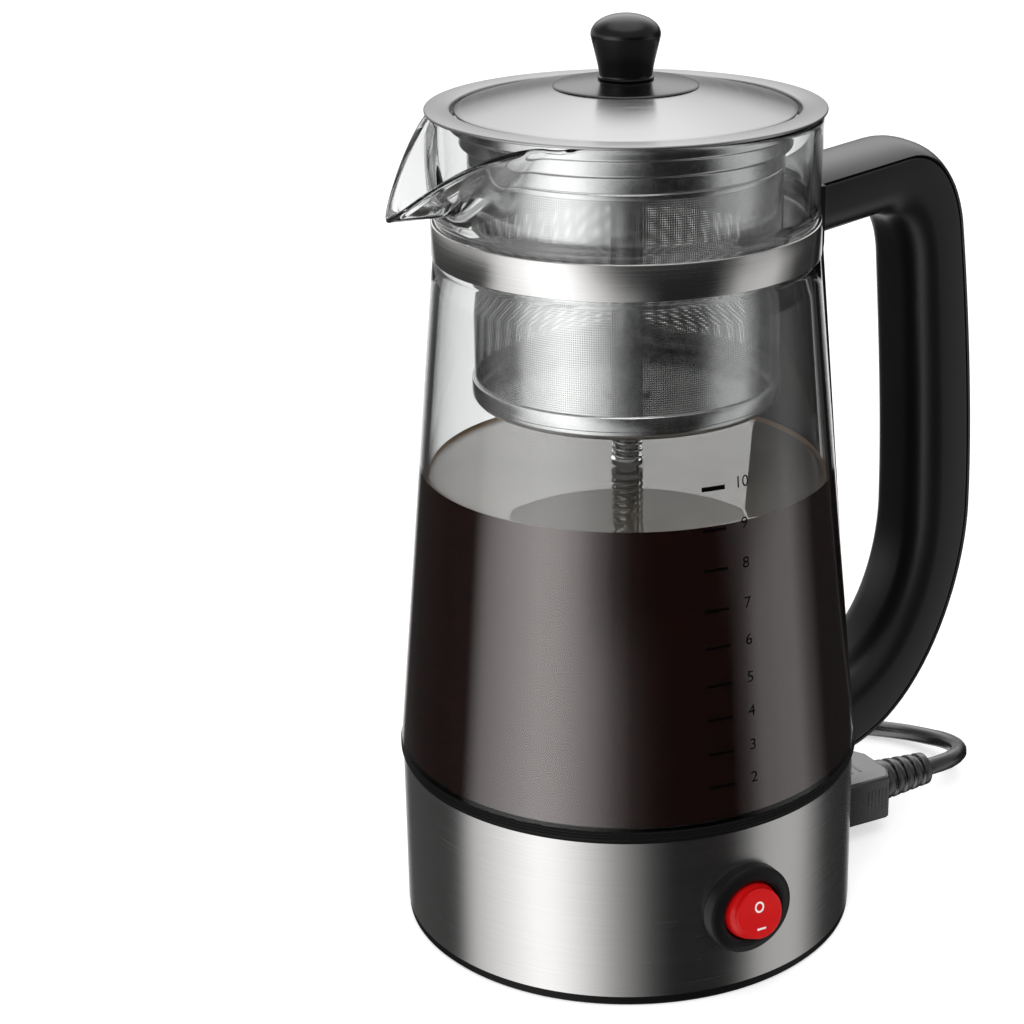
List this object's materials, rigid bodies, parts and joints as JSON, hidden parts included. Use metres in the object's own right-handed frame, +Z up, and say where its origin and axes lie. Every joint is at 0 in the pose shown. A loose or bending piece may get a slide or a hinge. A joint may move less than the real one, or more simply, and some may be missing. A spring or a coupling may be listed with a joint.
{
  "type": "electric percolator",
  "caption": "Electric percolator with a tapered glass jug, heated steel base with rocker switch, looped black handle, lift-out filter basket on a sprung stem, domed lid and detachable cord.",
  "frame": {"origin": "on the jug's axis, on the surface that the foot ring stands on", "axes": "+Z up along the jug's axis, handle and mains inlet on +X, spout on -X, switch on -Y"},
  "size_m": [0.2289, 0.2691, 0.2843],
  "materials": {
    "glass": "clear",
    "steel_brushed": "brushed",
    "steel_polished": "polished",
    "steel_satin": "satin",
    "black_satin": "satin",
    "black_gloss": "gloss",
    "black_matte": "matte",
    "red_gloss": "gloss",
    "rubber_black": "matte",
    "silicone": "matte",
    "aluminium": "cast",
    "brass": "plain",
    "phenolic_cream": "matte",
    "wire_cover": "matte",
    "cord_black": "matte"
  },
  "bodies": {
    "jug": {"glass_jug": "glass", "neck_band": "steel_brushed", "band_block": "aluminium", "band_screw": "steel_satin", "handle_body": "black_satin", "handle_cover": "black_satin", "handle_spine": "black_satin", "handle_screws": "steel_satin", "base_collar": "black_matte", "base_shell": "steel_brushed", "base_cover": "black_matte", "foot_ring": "rubber_black", "base_screws": "steel_satin", "glass_gasket": "silicone", "heating_plate": "steel_polished", "heat_spreader": "aluminium", "heating_element": "steel_satin", "thermostat": "phenolic_cream", "thermostat_bracket": "steel_satin", "thermal_fuse": "phenolic_cream", "switch_bezel": "black_gloss", "switch_body": "black_matte", "switch_terminals": "brass", "rocker_pin": "steel_satin", "inlet_housing": "black_matte", "inlet_pins": "brass", "wiring": "wire_cover"},
    "rocker": {"rocker": "red_gloss"},
    "basket": {"basket_rim": "steel_satin", "basket_wall": "steel_satin", "basket_floor": "steel_satin", "basket_band": "steel_satin", "basket_sleeve": "steel_satin", "stem_spring": "steel_polished"},
    "stem": {"stem_tube": "steel_polished", "stem_foot": "steel_polished", "stem_bead": "steel_polished", "stem_clip": "steel_satin"},
    "spreader": {"spreader_plate": "steel_satin"},
    "lid": {"lid_disc": "steel_polished", "knob_escutcheon": "black_satin", "lid_knob": "black_satin", "knob_screw": "steel_satin"},
    "cord_set": {"connector_body": "black_matte", "strain_relief": "rubber_black", "cord_lead": "cord_black", "cord_coil": "cord_black", "coil_tie": "black_matte", "plug_relief": "rubber_black", "wall_plug": "black_matte", "plug_blades": "brass"}
  },
  "joints": [
    {"name": "rocker_turn", "type": "hinge", "parent": "jug", "child": "rocker", "pos_m": [0, -0.0734, 0.029], "axis": [1, 0, 0], "range_deg": [0, 22]},
    {"name": "basket_lift", "type": "slide", "parent": "jug", "child": "basket", "axis": [0, 0, 1], "range_m": [0, 0.21]},
    {"name": "stem_press", "type": "slide", "parent": "basket", "child": "stem", "axis": [0, 0, 1], "range_m": [0, 0.005], "stiffness_N_per_m": 300, "springref_m": -0.004, "deforming": ["stem_spring"]},
    {"name": "spreader_lift", "type": "slide", "parent": "basket", "child": "spreader", "axis": [0, 0, 1], "range_m": [0, 0.05]},
    {"name": "lid_lift", "type": "slide", "parent": "spreader", "child": "lid", "axis": [0, 0, 1], "range_m": [0, 0.06]},
    {"name": "cord_unplug", "type": "slide", "parent": "jug", "child": "cord_set", "axis": [1, 0, 0], "range_m": [0, 0.025]}
  ]
}
